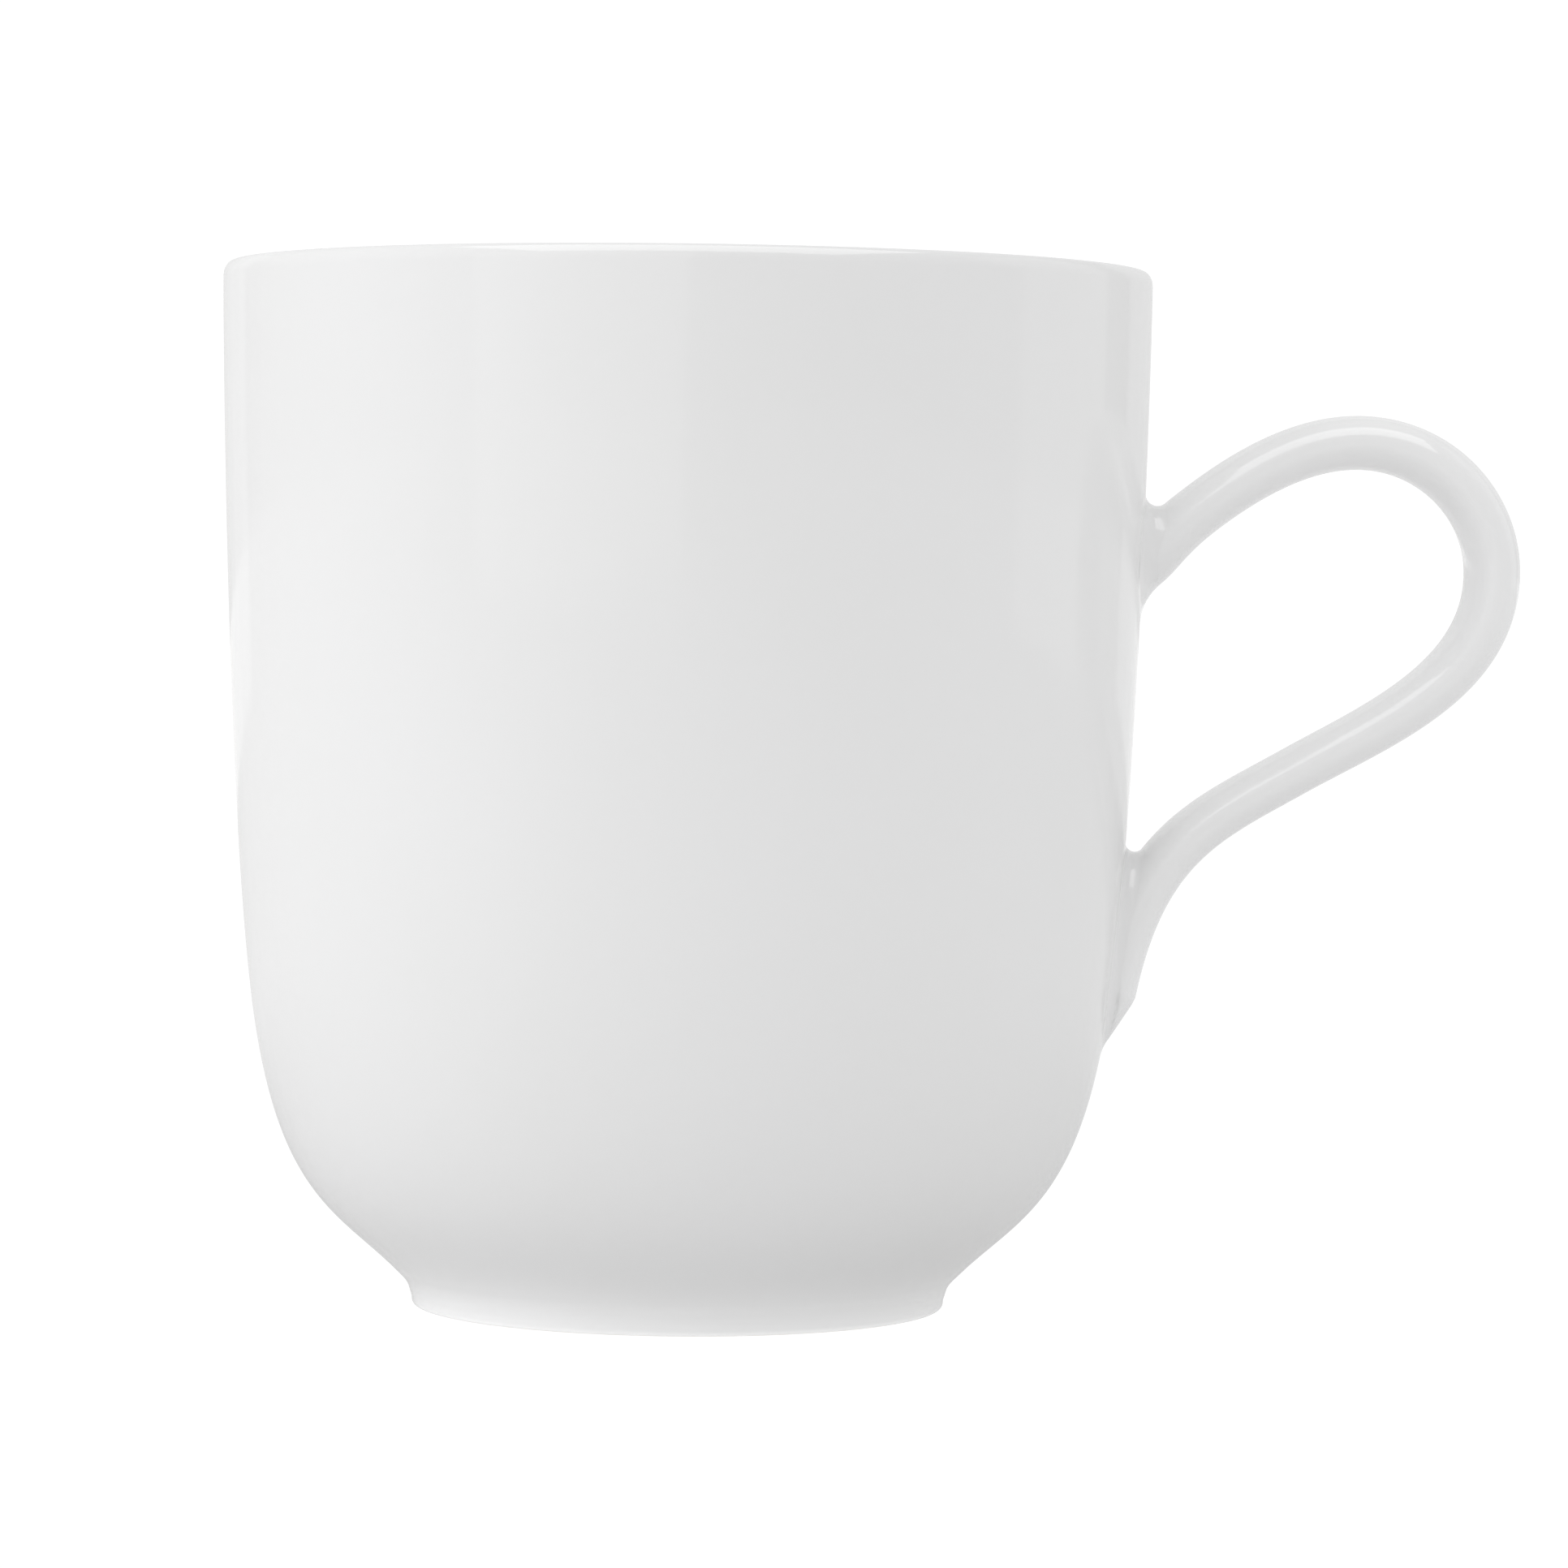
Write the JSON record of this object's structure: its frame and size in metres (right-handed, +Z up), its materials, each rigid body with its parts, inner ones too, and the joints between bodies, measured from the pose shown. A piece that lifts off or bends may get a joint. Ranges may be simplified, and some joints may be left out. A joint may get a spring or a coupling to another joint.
{
  "type": "mug",
  "caption": "White glazed porcelain mug with a rounded belly, a low foot ring and an ear-shaped strap handle, for hot or cold drinks.",
  "frame": {"origin": "on the table surface that the foot ring stands on, midway along the mug's whole length from the wall opposite the handle to the handle's furthest point; the body's own axis is 16.75 mm behind it", "axes": "+Z up along the body's axis; +X from the body's axis towards the handle; the mug is mirrored in the plane y = 0, which is the handle's plane"},
  "size_m": [0.1164, 0.083, 0.093],
  "materials": {
    "body_glaze": "white transparent glaze over white porcelain, glossy; the foot ring's bottom is left bare",
    "handle_glaze": "the same glossy white glaze as the body",
    "slip": "fired porcelain slip under the same glaze, sponged to a smooth fillet"
  },
  "bodies": {
    "root": {"body": "body_glaze", "handle": "handle_glaze", "upper_slip_joint": "slip", "lower_slip_joint": "slip"}
  },
  "joints": []
}
